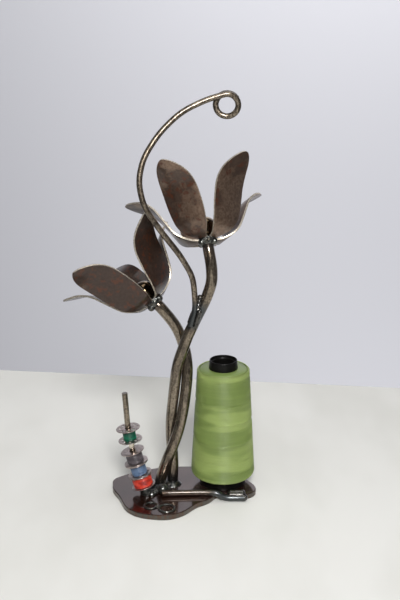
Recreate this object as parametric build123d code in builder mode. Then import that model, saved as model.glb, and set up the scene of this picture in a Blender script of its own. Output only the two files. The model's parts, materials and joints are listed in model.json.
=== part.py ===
from build123d import *
import os
from math import acos, ceil, cos, degrees, pi, radians, sin, sqrt

# A welded steel thread rack with two flowers, for sewing bobbins and one large cone of thread.
# The origin is on the underside of the base plate, below the feet of the twisted stems.
# +Z is up, +X is toward the cone of thread, and -Y is the front.

os.makedirs("parts", exist_ok=True)

# Base plate
plate_thickness = 5.0
plate_length = 125.0
plate_depth = 91.0
plate_edge_break = 0.6

# Round rods
stem_diameter = 9.5
guide_diameter = 4.8
post_diameter = 4.8
foot_rod_diameter = 5.5
spindle_diameter = 6.0
spindle_height = 34.0
rod_gap = 0.1
arm_gap = 0.2
petal_gap = 0.2
overrun = 4.0

# Twisted stems
twist_top = 131.0
twist_lean = 15.8
twist_bow = 2.0
twist_foot_left = 0.9
twist_foot_front = 5.0
twist_foot_spread = 12.6
twist_slack = 0.5

# Flowers, each a rise above what is below it
lower_flower_rise = 40.8
upper_flower_rise = 52.2
upper_flower_reach = 34.8
upper_stem_bow = 8.5
upper_lean_angle = 9.0
upper_tilt_angle = 39.0
lower_flower_reach = 9.7
lower_stem_bow = 4.8
lower_lean_angle = 51.0
lower_tilt_angle = 21.0
stem_end_run = 8.0
ball_diameter = 19.0
ball_seat_gap = 0.25

# Petals of bent sheet
sheet_thickness = 1.5
petal_half_width = 15.5
petal_neck_run = 3.0
petal_cup_length = 22.2
petal_body_run = 19.6
petal_curl_length = 22.4
petal_tip_run = 12.5
petal_base_angle = 3.0
petal_body_angle = 66.0
petal_tip_angle = 26.5

# Thread guide arm
eye_reach = 50.2
eye_rise = 109.3
arm_bow = 20.0
arm_foot_drop = 66.0
eye_coil_radius = 8.9
eye_coil_turns = 1.17
eye_join_angle = 105.0
eye_steps_per_turn = 12

# Bobbin post and bobbins
post_foot_left = 16.8
post_front = 21.5
post_lean = 17.0
post_height = 98.0
bobbin_flange_diameter = 20.3
bobbin_height = 11.2
bobbin_flange_thickness = 0.6
bobbin_hub_diameter = 7.0
bobbin_bore_clearance = 0.4
bobbin_gap = 0.15
bobbin_hole_count = 8
bobbin_hole_diameter = 2.2
bobbin_turns = 7
bobbin_thread_diameter = 0.6

# Cone of thread
cone_reach = 48.7
cone_back = 2.6
core_height = 113.5
core_base_radius = 19.9
core_top_radius = 11.7
core_wall = 1.6
core_step_depth = 2.4
core_step_width = 0.8
thread_start_height = 8.0
thread_length = 98.0
thread_low_radius = 27.8
thread_high_radius = 22.4
thread_low_shoulder = 5.5
thread_high_shoulder = 2.2
cone_turns = 24
cone_turn_diameter = 1.0
winding_gap = 0.06

# Foot rod in front of the cone
rim_rod_run = 24.75
rim_rod_gap = 0.82
rim_rod_rise = 0.5

# Welds and beads
weld_throat = 3.2
foot_puddle_thickness = 1.6
nugget_radius = 4.4
nugget_left = 2.9
nugget_front = 21.2
post_weld_height = 8.0
bead_radius = 1.6
weld_gap = 0.2
bead_ring_radius = 5.4
bead_thickness = 1.8

stem_radius = stem_diameter / 2
guide_radius = guide_diameter / 2
post_radius = post_diameter / 2
foot_rod_radius = foot_rod_diameter / 2
ball_radius = ball_diameter / 2
lower_flower_height = twist_top + lower_flower_rise
upper_flower_height = lower_flower_height + upper_flower_rise
eye_height = upper_flower_height + eye_rise
arm_foot_height = upper_flower_height - arm_foot_drop


def finish(piece, name):
    """Label a finished piece and write it as its own file."""
    piece.part.label = name
    export_step(piece.part, "parts/" + name + ".step")


def arc_middle(first, corner, last):
    """Middle point of the arc that is tangent to both legs of an isosceles corner."""
    chord_middle = (first + last) * 0.5
    leg = (corner - first).length
    half_chord = (last - first).length / 2
    share = (half_chord / leg) / (1 + half_chord / leg)
    return chord_middle + (corner - chord_middle) * share


def rounded_route(points, corner_share=0.45):
    """Draw straight runs joined by tangent arcs through the corners of a list of points."""
    start = points[0]
    for before, corner, after in zip(points, points[1:], points[2:]):
        arriving = corner - before
        leaving = after - corner
        trim = corner_share * min(arriving.length, leaving.length)
        first = corner - arriving.normalized() * trim
        last = corner + leaving.normalized() * trim
        Line(start, first)
        ThreePointArc(first, arc_middle(first, corner, last), last)
        start = last
    Line(start, points[-1])


def round_rod(points, diameter):
    """A round rod bent along a list of points."""
    with BuildPart() as rod:
        with BuildLine():
            rounded_route(points)
        with BuildSketch(Plane(origin=points[0], z_dir=points[1] - points[0])):
            Circle(diameter / 2)
        sweep()
    return rod


# Routes of the rods

twist_radius = stem_radius + twist_slack / 2
# Share of the way up, and the angle of the upper stem round the lower one, in degrees
twist_angles = [
    (0, 22),
    (0.12, 42),
    (0.22, 70),
    (0.31, 100),
    (0.41, 130),
    (0.52, 155),
    (0.63, 171),
    (0.74, 183),
    (0.84, 202),
    (0.92, 232),
    (1, 268),
]


def twist_centre(share):
    """Middle line between the two stems, from the plate (0) to where they part (1)."""
    bow = twist_bow * sin(pi * share**1.5)
    return Vector(
        twist_lean * share + bow - twist_foot_left,
        -twist_foot_front * (1 - share),
        plate_thickness + (twist_top - plate_thickness) * share,
    )


def twist_points(side_angle):
    """Places of one stem while it winds round the other, with its start sunk for a flush cut."""
    foot_widening = twist_foot_spread / 2 - twist_radius
    points = []
    for share, turn_angle in twist_angles:
        angle = radians(turn_angle + side_angle)
        spread = twist_radius + foot_widening * (1 - share) ** 4
        points.append(twist_centre(share) + Vector(spread * cos(angle), spread * sin(angle), 0))
    below = points[0] + (points[0] - points[1]).normalized() * overrun
    return [below] + points[1:]


def flower_plane(reach, height, lean_angle, tilt_angle):
    """Plane across a stem's tip: x is to the right, and z is the flower's axis."""
    lean = radians(lean_angle)
    tilt = radians(tilt_angle)
    axis = Vector(-sin(lean) * cos(tilt), sin(tilt), cos(lean) * cos(tilt))
    across = Vector(cos(lean), 0, sin(lean))
    return Plane(origin=(reach, 0, height), x_dir=across, z_dir=axis)


def side_of(flower, angle):
    """Direction across a flower, turned from its right-hand side toward the front."""
    return flower.x_dir * cos(radians(angle)) - flower.y_dir * sin(radians(angle))


upper_flower = flower_plane(
    upper_flower_reach, upper_flower_height, upper_lean_angle, upper_tilt_angle
)
lower_flower = flower_plane(
    -lower_flower_reach, lower_flower_height, lower_lean_angle, lower_tilt_angle
)

# Shares of the flower's reach, of the stem's bow and of the rise from the twist to the flower
upper_stem_shares = [
    (0.532, -0.65, 0.1185),
    (0.736, -0.78, 0.2943),
    (0.986, -0.88, 0.4894),
    (1.115, -1.0, 0.646),
    (1.103, -1.0, 0.7832),
]
lower_stem_shares = [
    (1.33, 1.0, 0.1705),
    (0.95, 0.73, 0.398),
    (0.43, 0.21, 0.604),
]


def stem_points(side_angle, flower, shares, reach, bow):
    """Whole route of a stem, from under the plate's top to the middle of its flower."""
    rise = flower.origin.Z - twist_top
    free = [Vector(x * reach, y * bow, twist_top + z * rise) for x, y, z in shares]
    end = flower.origin + flower.z_dir * (sheet_thickness / 2)
    end_start = flower.origin - flower.z_dir * stem_end_run
    return twist_points(side_angle) + free + [end_start, end]


upper_stem_route = stem_points(
    0, upper_flower, upper_stem_shares, upper_flower_reach, upper_stem_bow
)
lower_stem_route = stem_points(
    180, lower_flower, lower_stem_shares, lower_flower_reach, lower_stem_bow
)


def place_at_height(route, height):
    """Place on a rising route at a given height."""
    for low, high in zip(route, route[1:]):
        if low.Z <= height <= high.Z:
            return low + (high - low) * ((height - low.Z) / (high.Z - low.Z))
    return route[-1]


# The arm's free places: shares of the eye's reach, of the arm's bow and of its rise
arm_shares = [
    (0.49, -0.67, 0.13),
    (0.461, -0.725, 0.22),
    (0.265, -0.9, 0.328),
    (-0.05, -1.05, 0.45),
    (-0.313, -1.05, 0.564),
    (-0.393, -0.925, 0.673),
    (-0.316, -0.725, 0.775),
    (-0.068, -0.45, 0.884),
    (0.282, -0.2, 0.976),
    (0.681, 0.0, 1.027),
]
# Where the arm lies against the upper stem: shares of its rise, and degrees from the stem's front
arm_seat_shares = [(-0.026, 20), (0.05, 42)]


def beside_stem(rise_share, angle, distance):
    """Place at a distance from the middle of the upper stem, turned from its front to the left."""
    height = arm_foot_height + rise_share * (eye_height - arm_foot_height)
    stem = place_at_height(upper_stem_route, height)
    above = place_at_height(upper_stem_route, height + stem_radius)
    way = (above - stem).normalized()
    left = way.cross(Vector(0, 1, 0)).normalized()
    front = way.cross(left).normalized()
    front = front if front.Y < 0 else front * -1
    return stem + front * (distance * cos(radians(angle))) + left * (distance * sin(radians(angle)))


def arm_seat_points():
    """Places of the arm where it touches the upper stem."""
    reach = stem_radius + guide_radius + arm_gap
    return [beside_stem(share, angle, reach) for share, angle in arm_seat_shares]


def eye_coil_points():
    """Places of the thread eye, one turn and a bit, each turn lying behind the last."""
    step_angle = 360 / eye_steps_per_turn
    corner_radius = eye_coil_radius / cos(radians(step_angle / 2))
    pitch = guide_diameter + rod_gap
    steps = ceil(eye_coil_turns * eye_steps_per_turn)
    points = []
    for step in range(steps + 1):
        angle = radians(eye_join_angle - (step - 0.5) * step_angle)
        back = cone_back - pitch / 2 + pitch * step / eye_steps_per_turn
        points.append(
            Vector(
                eye_reach + corner_radius * cos(angle),
                back,
                eye_height + corner_radius * sin(angle),
            )
        )
    return points[1:]


def guide_route():
    """Whole route of the guide arm, from its weld to the end of the eye."""
    rise = eye_height - arm_foot_height
    free = [
        Vector(x * eye_reach, y * arm_bow, arm_foot_height + z * rise) for x, y, z in arm_shares
    ]
    return arm_seat_points() + free + eye_coil_points()


# The bobbin post: shares of its lean, and of its height above the plate
post_shares = [(0, 0), (0.661, 0.4244), (0.753, 0.527), (0.888, 0.677), (1, 1)]


def post_route():
    """Places of the bobbin post, which leans left and then straightens up."""
    rise = post_height - plate_thickness
    return [
        Vector(-post_foot_left - x * post_lean, -post_front, plate_thickness + z * rise)
        for x, z in post_shares
    ]


post_places = post_route()


def sunk_start(points):
    """The same route, begun lower, so that its end can be cut flush with the plate."""
    below = points[0] + (points[0] - points[1]).normalized() * overrun
    return [below] + points[1:]


# Base plate

# The notch in the front rim that takes the foot rod: shares of the plate's length and depth
notch_start_share = 0.338
notch_depth_share = 0.252
# Outline, clockwise from the left: shares of the plate's length and of its depth
plate_outline_shares = [
    (-0.379, 0.0),
    (-0.362, 0.085),
    (-0.33, 0.125),
    (-0.275, 0.18),
    (-0.19, 0.24),
    (-0.075, 0.305),
    (0.06, 0.337),
    (0.19, 0.338),
    (0.32, 0.315),
    (0.43, 0.255),
    (0.515, 0.155),
    (0.565, 0.045),
    (0.6, -0.03),
    (0.618, -0.12),
    (0.6, -0.2),
    (0.56, -0.245),
    (0.47, -notch_depth_share),
    (notch_start_share, -0.249),
    (0.308, -0.315),
    (0.262, -0.377),
    (0.215, -0.425),
    (0.17, -0.5),
    (0.13, -0.57),
    (0.065, -0.635),
    (0.0, -0.66),
    (-0.075, -0.652),
    (-0.148, -0.628),
    (-0.22, -0.568),
    (-0.272, -0.475),
    (-0.303, -0.355),
    (-0.335, -0.24),
    (-0.37, -0.13),
]


def make_base_plate():
    """Free-form flat plate with a slightly broken edge."""
    places = [(x * plate_length, y * plate_depth) for x, y in plate_outline_shares]
    with BuildPart() as plate:
        with BuildSketch():
            with BuildLine():
                Spline(*places, periodic=True)
            make_face()
        extrude(amount=plate_thickness)
        chamfer(plate.faces().filter_by(Axis.Z).edges(), length=plate_edge_break)
    return plate


# Rods that stand on the plate


def make_standing_rod(points, diameter):
    """A rod whose foot is cut flush with the top of the plate."""
    rod = round_rod(points, diameter)
    with rod:
        split(bisect_by=Plane.XY.offset(plate_thickness), keep=Keep.TOP)
    return rod


def make_spindle():
    """Short upright pin that keeps the cone in place."""
    with BuildPart() as spindle:
        with BuildSketch(Plane((cone_reach, cone_back, plate_thickness))):
            Circle(spindle_diameter / 2)
        extrude(amount=spindle_height)
        chamfer(spindle.edges().sort_by(Axis.Z)[-1], length=spindle_diameter / 6)
    return spindle


# The foot rod lies on the plate, then drops into the notch in the front rim: shares of the way
# to the notch, of its run in the notch, of its distance in front of the origin, and of its drop
foot_rod_shares = [
    (-0.079, 0, -1.0, 0),
    (0.317, 0, -0.962, 0),
    (0.634, 0, -0.94, 0),
    (0.88, 0, -0.95, 0),
    (1.0, 0.0525, -0.99, 0),
    (1.0, 0.337, -1.0, 1),
    (1.0, 1.0, -1.0, 1),
]
notch_reach = notch_start_share * plate_length
foot_rod_back = notch_depth_share * plate_depth + rim_rod_gap + foot_rod_radius


def foot_rod_route():
    """Places of the rod that lies at the foot of the cone."""
    on_plate = plate_thickness + foot_rod_radius
    drop = on_plate - foot_rod_radius - rim_rod_rise
    return [
        Vector(x * notch_reach + run * rim_rod_run, y * foot_rod_back, on_plate - z * drop)
        for x, run, y, z in foot_rod_shares
    ]


# Petals

# Half of the outline from neck to tip: shares of the chord and of the half width
petal_outline_shares = [
    (0.0, 0.19),
    (0.055, 0.32),
    (0.135, 0.6),
    (0.24, 0.84),
    (0.36, 0.96),
    (0.5, 1.0),
    (0.63, 0.98),
    (0.75, 0.88),
    (0.85, 0.7),
    (0.93, 0.46),
    (0.98, 0.22),
]


def petal_bend(opening):
    """Side view of a bent petal: runs and arcs from the neck to the tip, on its radial plane."""
    rise = petal_base_angle - opening
    neck_start = stem_radius + petal_gap
    neck_end = (
        neck_start + petal_neck_run * cos(radians(rise)),
        petal_neck_run * sin(radians(rise)),
    )
    Line((neck_start, 0), neck_end)
    place = neck_end
    turns = [
        (petal_body_angle - opening, petal_cup_length, petal_body_run),
        (petal_tip_angle - opening, petal_curl_length, petal_tip_run),
    ]
    for next_rise, arc_length, run in turns:
        change = radians(next_rise - rise)
        radius = arc_length / change
        middle_rise = radians(rise) + change / 2
        middle = (
            place[0] + radius * (sin(middle_rise) - sin(radians(rise))),
            place[1] - radius * (cos(middle_rise) - cos(radians(rise))),
        )
        end = (
            place[0] + radius * (sin(radians(next_rise)) - sin(radians(rise))),
            place[1] - radius * (cos(radians(next_rise)) - cos(radians(rise))),
        )
        ThreePointArc(place, middle, end)
        place = (
            end[0] + run * cos(radians(next_rise)),
            end[1] + run * sin(radians(next_rise)),
        )
        Line(end, place)
        rise = next_rise
    return (neck_start, 0), place


def make_petal(flower, turn_angle, opening):
    """One petal: a bent strip of sheet, cut to the petal's outline seen square to its chord."""
    outward = side_of(flower, turn_angle)
    radial = Plane(origin=flower.origin, x_dir=outward, z_dir=outward.cross(flower.z_dir))
    with BuildPart() as petal:
        with BuildSketch(radial):
            with BuildLine():
                neck, tip = petal_bend(opening)
            trace(line_width=sheet_thickness)
        extrude(amount=petal_half_width + overrun, both=True)
        root = radial.from_local_coords(Vector(*neck))
        end = radial.from_local_coords(Vector(*tip))
        chord = end - root
        half = [(x * chord.length, y * petal_half_width) for x, y in petal_outline_shares]
        far_half = [(x, -y) for x, y in reversed(half)]
        along = chord.normalized()
        with BuildSketch(Plane(origin=root, x_dir=along, z_dir=along.cross(radial.z_dir))):
            with BuildLine():
                rim = Spline(*half, (chord.length, 0), *far_half)
                Polyline(rim @ 1, (-overrun, rim.position_at(1).Y), (-overrun, half[0][1]), rim @ 0)
            make_face()
        extrude(amount=chord.length, both=True, mode=Mode.INTERSECT)
    return petal


# Turn of each petal from the flower's right-hand side, and how far it opens, in degrees
upper_petals = [(-37, 1.5), (38, -6.4), (114.5, 2.3), (187, 6.3), (256, 2.0)]
lower_petals = [(-44.5, 7.0), (25.5, 5.5), (102.5, -1.5), (173.5, -7.3), (247.5, -4.0)]


def make_ball(flower):
    """Polished ball at the middle of a flower, seated on the stem's end."""
    centre = flower.origin + flower.z_dir * (sheet_thickness / 2 + ball_seat_gap + ball_radius)
    with BuildPart() as ball:
        with Locations(centre):
            Sphere(ball_radius)
    return ball


# Welds


def add_lumps(lumps):
    """Rounded lumps of weld metal: each is a place and a radius."""
    for place, radius in lumps:
        with Locations(place):
            Sphere(radius)


# Side of a flower's weld: shares of the throat away from the stem, and along the flower's axis
flower_weld_side_shares = [(0.05, -1.6), (0.8, -0.7), (0.8, 0)]
# Lumps round it: angle from the flower's right-hand side, and share of the throat
flower_lump_shares = [(20, 0.9), (75, 0.75), (140, 1.0), (205, 0.8), (250, 0.95), (310, 0.7)]
lump_reach_share = 0.4
lump_size_share = 0.8


def make_flower_weld(flower, stem, petals, ball):
    """Ring of weld that holds the petal necks and the ball to the stem, cut to fit round them."""
    side = [(stem_radius + x * weld_throat, z * weld_throat) for x, z in flower_weld_side_shares]
    low = side[0][1]
    with BuildPart() as weld:
        with BuildSketch(Plane(origin=flower.origin, x_dir=flower.x_dir, z_dir=-flower.y_dir)):
            with BuildLine():
                Polyline(
                    (0, low), *side, (stem_radius, sheet_thickness), (0, sheet_thickness), close=True
                )
            make_face()
        revolve(axis=Axis(flower.origin, flower.z_dir))
        lumps = []
        for angle, share in flower_lump_shares:
            size = weld_throat * share
            reach = stem_radius + weld_throat * lump_reach_share
            place = flower.origin + side_of(flower, angle) * reach - flower.z_dir * size
            lumps.append((place, size * lump_size_share))
        add_lumps(lumps)
        for piece in [stem, ball] + petals:
            add(piece.part, mode=Mode.SUBTRACT)
    return weld


# Puddle of weld at the right foot: shares of the stem's radius from the foot's middle
puddle_shares = [(0, 1.3), (1.5, 0.9), (2.53, -0.3), (1.5, -1.5), (0, -1.3)]
puddle_side_angle = 25
# Lumps at the feet: places from the nugget and sizes, as shares of the nugget's radius
nugget_shares = [
    (0, 0, 0.95, 1),
    (-0.5, 1.5, 0, 1.1),
    (-0.3, 2.4, 0, 0.95),
    (-1.6, 0.2, 0, 0.75),
    (0.9, 1.1, 0, 0.6),
]


def make_foot_weld(stems, foot_rod):
    """Weld metal round the stems' feet, with a pointed puddle and a tall nugget in front."""
    feet = [twist_points(0)[0], twist_points(180)[0]]
    right_foot = feet[0]
    with BuildPart() as weld:
        for foot in feet:
            with Locations((foot.X, foot.Y, plate_thickness + weld_throat / 2)):
                Cone(stem_radius + weld_throat, stem_radius + rod_gap, weld_throat)
        puddle = [(x * stem_radius, y * stem_radius) for x, y in puddle_shares]
        with BuildSketch(Plane((right_foot.X, right_foot.Y, plate_thickness))):
            with BuildLine():
                Spline(*puddle[:3])
                Spline(*puddle[2:])
                Line(puddle[-1], puddle[0])
            make_face()
        extrude(amount=foot_puddle_thickness, taper=puddle_side_angle)
        nugget = Vector(-nugget_left, -nugget_front, plate_thickness)
        lumps = [
            (nugget + Vector(x, y, z) * nugget_radius, nugget_radius * size)
            for x, y, z, size in nugget_shares
        ]
        add_lumps(lumps)
        for piece in stems + [foot_rod]:
            add(piece.part, mode=Mode.SUBTRACT)
        split(bisect_by=Plane.XY.offset(plate_thickness), keep=Keep.TOP)
    return weld


# Weld beads on each side of the arm, in its notch with the upper stem: shares of the arm's rise
guide_bead_shares = [-0.018, 0.003, 0.024, 0.045]


def make_guide_weld():
    """Two rows of weld beads that lie against both the guide arm and the upper stem."""
    to_arm = guide_radius + bead_radius + weld_gap
    to_stem = stem_radius + bead_radius + weld_gap
    between = stem_radius + guide_radius + arm_gap
    notch = degrees(acos((between**2 + to_stem**2 - to_arm**2) / (2 * between * to_stem)))
    (low_share, low_angle), (high_share, high_angle) = arm_seat_shares
    turn_rate = (high_angle - low_angle) / (high_share - low_share)
    beads = []
    for share in guide_bead_shares:
        arm_angle = low_angle + turn_rate * (share - low_share)
        for angle in (arm_angle - notch, arm_angle + notch):
            beads.append((beside_stem(share, angle, to_stem), bead_radius))
    with BuildPart() as weld:
        add_lumps(beads)
    return weld


# Lumps at the post's foot: places from the foot and sizes, as shares of the throat
post_lump_shares = [(1.4, -0.9, 0.95), (1.5, 0.7, 0.8)]
post_weld_side_angle = 10


def make_post_weld(post, foot_weld):
    """Collar of weld at the bobbin post's foot, with two lumps, cut to fit round the post."""
    foot = post_places[0]
    up = (post_places[1] - post_places[0]).normalized()
    with BuildPart() as weld:
        with BuildSketch(Plane(origin=foot - up * weld_throat, z_dir=up)):
            Circle(post_radius + weld_throat)
        extrude(amount=post_weld_height + weld_throat, taper=post_weld_side_angle)
        lumps = [
            (foot + Vector(x, y, 0) * weld_throat, weld_throat * size)
            for x, y, size in post_lump_shares
        ]
        add_lumps(lumps)
        for piece in (post, foot_weld):
            add(piece.part, mode=Mode.SUBTRACT)
        split(bisect_by=Plane.XY.offset(plate_thickness), keep=Keep.TOP)
    return weld


# Weld beads between the foot rod and the plate's rim: shares of the rod's run in the notch
rim_bead_shares = [0.513, 0.648, 0.783, 0.919]
rim_bead_rise_share = 0.97


def make_rim_weld():
    """Row of weld beads that lie against the foot rod, just over the rim of the plate."""
    height = plate_thickness + bead_radius * rim_bead_rise_share
    rise = height - foot_rod_radius - rim_rod_rise
    away = foot_rod_radius + bead_radius + weld_gap
    behind = sqrt(away**2 - rise**2)
    beads = [
        (Vector(notch_reach + share * rim_rod_run, behind - foot_rod_back, height), bead_radius)
        for share in rim_bead_shares
    ]
    with BuildPart() as weld:
        add_lumps(beads)
    return weld


# Two plain rings of weld bead: shares of the plate's length and depth, and of the bead radius
bead_ring_shares = [(-0.0975, -0.484, 1.0), (0.0085, -0.535, 1.22)]
bead_lift_share = 0.12


def make_bead_rings():
    """Two rings of weld bead on the front of the plate, each cut flat where it sits."""
    with BuildPart() as rings:
        for x_share, y_share, size in bead_ring_shares:
            height = plate_thickness + bead_thickness * bead_lift_share
            with Locations((x_share * plate_length, y_share * plate_depth, height)):
                Torus(bead_ring_radius * size, bead_thickness / 2)
        split(bisect_by=Plane.XY.offset(plate_thickness), keep=Keep.TOP)
    return rings


# Windings


def biarc(start, start_way, end, end_way):
    """Draw two arcs that leave the start and reach the end along the given directions."""
    across = end - start
    ways = start_way + end_way
    sharpness = 2 * (1 - start_way.dot(end_way))
    reach = across.dot(ways)
    leg = (sqrt(reach**2 + sharpness * across.dot(across)) - reach) / sharpness
    first_corner = start + start_way * leg
    last_corner = end - end_way * leg
    middle = (first_corner + last_corner) * 0.5
    ThreePointArc(start, arc_middle(start, first_corner, middle), middle)
    ThreePointArc(middle, arc_middle(middle, last_corner, end), end)


def least_gap(wire, turns, diameter):
    """Least gap between a tube and its own next turns, measured on points along its route."""
    per_turn = 24
    spots = [wire @ (number / (turns * per_turn)) for number in range(turns * per_turn + 1)]
    nearest = min(
        (other - spot).length
        for number, spot in enumerate(spots)
        for other in spots[number + per_turn // 2 : number + per_turn * 3 // 2]
    )
    return nearest - diameter


def make_turns(plane, radius_at, low, high, turns, diameter):
    """One unbroken tube wound round an axis, on biarcs of half a turn, with short straight ends."""
    half_turns = 2 * turns

    def place(step):
        """Place and direction of the tube at a number of half turns."""
        share = step / half_turns
        height = low + (high - low) * share
        angle = pi * step
        radius = radius_at(height)
        radius_rate = (radius_at(high) - radius_at(low)) / (half_turns * pi)
        rise_rate = (high - low) / (half_turns * pi)
        outward = plane.x_dir * cos(angle) + plane.y_dir * sin(angle)
        onward = plane.y_dir * cos(angle) - plane.x_dir * sin(angle)
        spot = plane.origin + outward * radius + plane.z_dir * height
        way = outward * radius_rate + onward * radius + plane.z_dir * rise_rate
        return spot, way.normalized()

    stops = [place(step) for step in range(half_turns + 1)]
    first_spot, first_way = stops[0]
    last_spot, last_way = stops[-1]
    tail = first_spot - first_way * diameter
    with BuildPart() as tube:
        with BuildLine() as path:
            Line(tail, first_spot)
            for (start, start_way), (end, end_way) in zip(stops, stops[1:]):
                biarc(start, start_way, end, end_way)
            Line(last_spot, last_spot + last_way * diameter)
        with BuildSketch(Plane(origin=tail, z_dir=first_way)):
            Circle(diameter / 2)
        sweep()
    wire = path.wire()
    print("turns", turns, "least gap", round(least_gap(wire, turns, diameter), 2))
    print("volume", round(tube.part.volume), "of", round(wire.length * pi * diameter**2 / 4))
    return tube


# Bobbins

bore_radius = post_radius + bobbin_bore_clearance
hub_radius = bobbin_hub_diameter / 2
flange_radius = bobbin_flange_diameter / 2
bobbin_spacing = bobbin_height + bobbin_gap

low_way = (post_places[1] - post_places[0]).normalized()
high_way = (post_places[3] - post_places[2]).normalized()
lowest = post_weld_height + bobbin_gap * 2 + bobbin_height / 2


def post_plane(start, way, distance):
    """Plane square to the post, at a distance along one of its runs."""
    return Plane(origin=start + way * distance, x_dir=(0, 1, 0), z_dir=way)


high_run = (post_places[3] - post_places[2]).length
# Name, place on the post, outer radius of the thread as a share of the flange's, flange holes
bobbins = [
    ("red", post_plane(post_places[0], low_way, lowest), 0.83, True),
    ("blue", post_plane(post_places[0], low_way, lowest + bobbin_spacing), 0.67, True),
    ("grey", post_plane(post_places[0], low_way, lowest + 2 * bobbin_spacing), 0.71, False),
    ("green", post_plane(post_places[2], high_way, high_run / 2), 0.56, True),
]


def make_spool(plane, holed):
    """Metal bobbin: two thin flanges, with or without holes, on a hollow hub."""
    half = bobbin_height / 2
    inner = half - bobbin_flange_thickness
    with BuildPart() as spool:
        with BuildSketch(Plane(origin=plane.origin, x_dir=plane.x_dir, z_dir=-plane.y_dir)):
            with BuildLine():
                Polyline(
                    (bore_radius, -half),
                    (flange_radius, -half),
                    (flange_radius, -inner),
                    (hub_radius, -inner),
                    (hub_radius, inner),
                    (flange_radius, inner),
                    (flange_radius, half),
                    (bore_radius, half),
                    close=True,
                )
            make_face()
        revolve(axis=Axis(plane.origin, plane.z_dir))
        if holed:
            with BuildSketch(plane.offset(-half - overrun)):
                with PolarLocations((hub_radius + flange_radius) / 2, bobbin_hole_count):
                    Circle(bobbin_hole_diameter / 2)
            extrude(amount=bobbin_height + 2 * overrun, mode=Mode.SUBTRACT)
    return spool


def make_bobbin_thread(plane, radius_share):
    """Thread on a bobbin: a plain core of thread, and its outer turns as one tube."""
    outer = flange_radius * radius_share
    core_radius = outer - bobbin_thread_diameter - winding_gap
    half = bobbin_height / 2 - bobbin_flange_thickness - winding_gap
    with BuildPart() as pack:
        with BuildSketch(plane.offset(-half)):
            Circle(core_radius)
            Circle(hub_radius + winding_gap, mode=Mode.SUBTRACT)
        extrude(amount=2 * half)
    reach = half - bobbin_thread_diameter
    turns = make_turns(
        plane,
        lambda height: core_radius + winding_gap + bobbin_thread_diameter / 2,
        -reach,
        reach,
        bobbin_turns,
        bobbin_thread_diameter,
    )
    return pack, turns


# Cone of thread

cone_plane = Plane((cone_reach, cone_back, plate_thickness))
cone_slope = (core_top_radius - core_base_radius) / core_height


def core_radius_at(height):
    """Outer radius of the bare core at a height above the plate."""
    return core_base_radius + cone_slope * height


def thread_radius_at(height):
    """Radius of the wound thread under its outer turns, without its rounded shoulders."""
    slope = (thread_high_radius - thread_low_radius) / thread_length
    outer = thread_low_radius + slope * (height - thread_start_height)
    return outer - cone_turn_diameter - winding_gap


def make_core():
    """Hollow tapered core with a stepped rim."""
    with BuildPart() as core:
        with BuildSketch(Plane.XZ.offset(-cone_back)):
            with BuildLine():
                Polyline(
                    (cone_reach + core_base_radius - core_wall, plate_thickness),
                    (cone_reach + core_base_radius, plate_thickness),
                    (cone_reach + core_top_radius, plate_thickness + core_height),
                    (
                        cone_reach + core_top_radius - core_step_width,
                        plate_thickness + core_height,
                    ),
                    (
                        cone_reach + core_top_radius - core_step_width,
                        plate_thickness + core_height - core_step_depth,
                    ),
                    (
                        cone_reach + core_top_radius - core_step_width - core_wall,
                        plate_thickness + core_height - core_step_depth,
                    ),
                    (
                        cone_reach + core_top_radius - core_step_width - core_wall,
                        plate_thickness + core_height - 2 * core_step_depth,
                    ),
                    close=True,
                )
            make_face()
        revolve(axis=Axis((cone_reach, cone_back, 0), (0, 0, 1)))
    return core


def make_cone_thread():
    """Wound thread: one closed body with rounded shoulders, and its outer turns as one tube."""
    low = thread_start_height
    high = thread_start_height + thread_length
    with BuildPart() as pack:
        with BuildSketch(Plane.XZ.offset(-cone_back)) as section:
            with BuildLine():
                outline = [
                    (core_radius_at(low) + winding_gap, low),
                    (thread_radius_at(low), low),
                    (thread_radius_at(high), high),
                    (core_radius_at(high) + winding_gap, high),
                ]
                places = [(cone_reach + x, plate_thickness + z) for x, z in outline]
                Polyline(*places, close=True)
            make_face()
            outer_corners = section.vertices().sort_by(Axis.X)[-2:].sort_by(Axis.Y)
            fillet(outer_corners[0], radius=thread_low_shoulder)
            fillet(outer_corners[1], radius=thread_high_shoulder)
        revolve(axis=Axis((cone_reach, cone_back, 0), (0, 0, 1)))
    turns = make_turns(
        cone_plane,
        lambda height: thread_radius_at(height) + winding_gap + cone_turn_diameter / 2,
        low + thread_low_shoulder + cone_turn_diameter / 2,
        high - thread_high_shoulder - cone_turn_diameter / 2,
        cone_turns,
        cone_turn_diameter,
    )
    return pack, turns


# Making every piece

base_plate = make_base_plate()
finish(base_plate, "base_plate")

upper_stem = make_standing_rod(upper_stem_route, stem_diameter)
finish(upper_stem, "upper_stem")
lower_stem = make_standing_rod(lower_stem_route, stem_diameter)
finish(lower_stem, "lower_stem")

guide_arm = round_rod(guide_route(), guide_diameter)
finish(guide_arm, "guide_arm")

bobbin_post = make_standing_rod(sunk_start(post_places), post_diameter)
finish(bobbin_post, "bobbin_post")

foot_rod = round_rod(foot_rod_route(), foot_rod_diameter)
finish(foot_rod, "foot_rod")

cone_spindle = make_spindle()
finish(cone_spindle, "cone_spindle")

for flower_name, flower, table, stem in (
    ("upper", upper_flower, upper_petals, upper_stem),
    ("lower", lower_flower, lower_petals, lower_stem),
):
    petals = []
    for number, (turn_angle, opening) in enumerate(table, start=1):
        petal = make_petal(flower, turn_angle, opening)
        finish(petal, flower_name + "_petal_" + str(number))
        petals.append(petal)
    ball = make_ball(flower)
    finish(ball, flower_name + "_ball")
    finish(make_flower_weld(flower, stem, petals, ball), flower_name + "_flower_weld")

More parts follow.
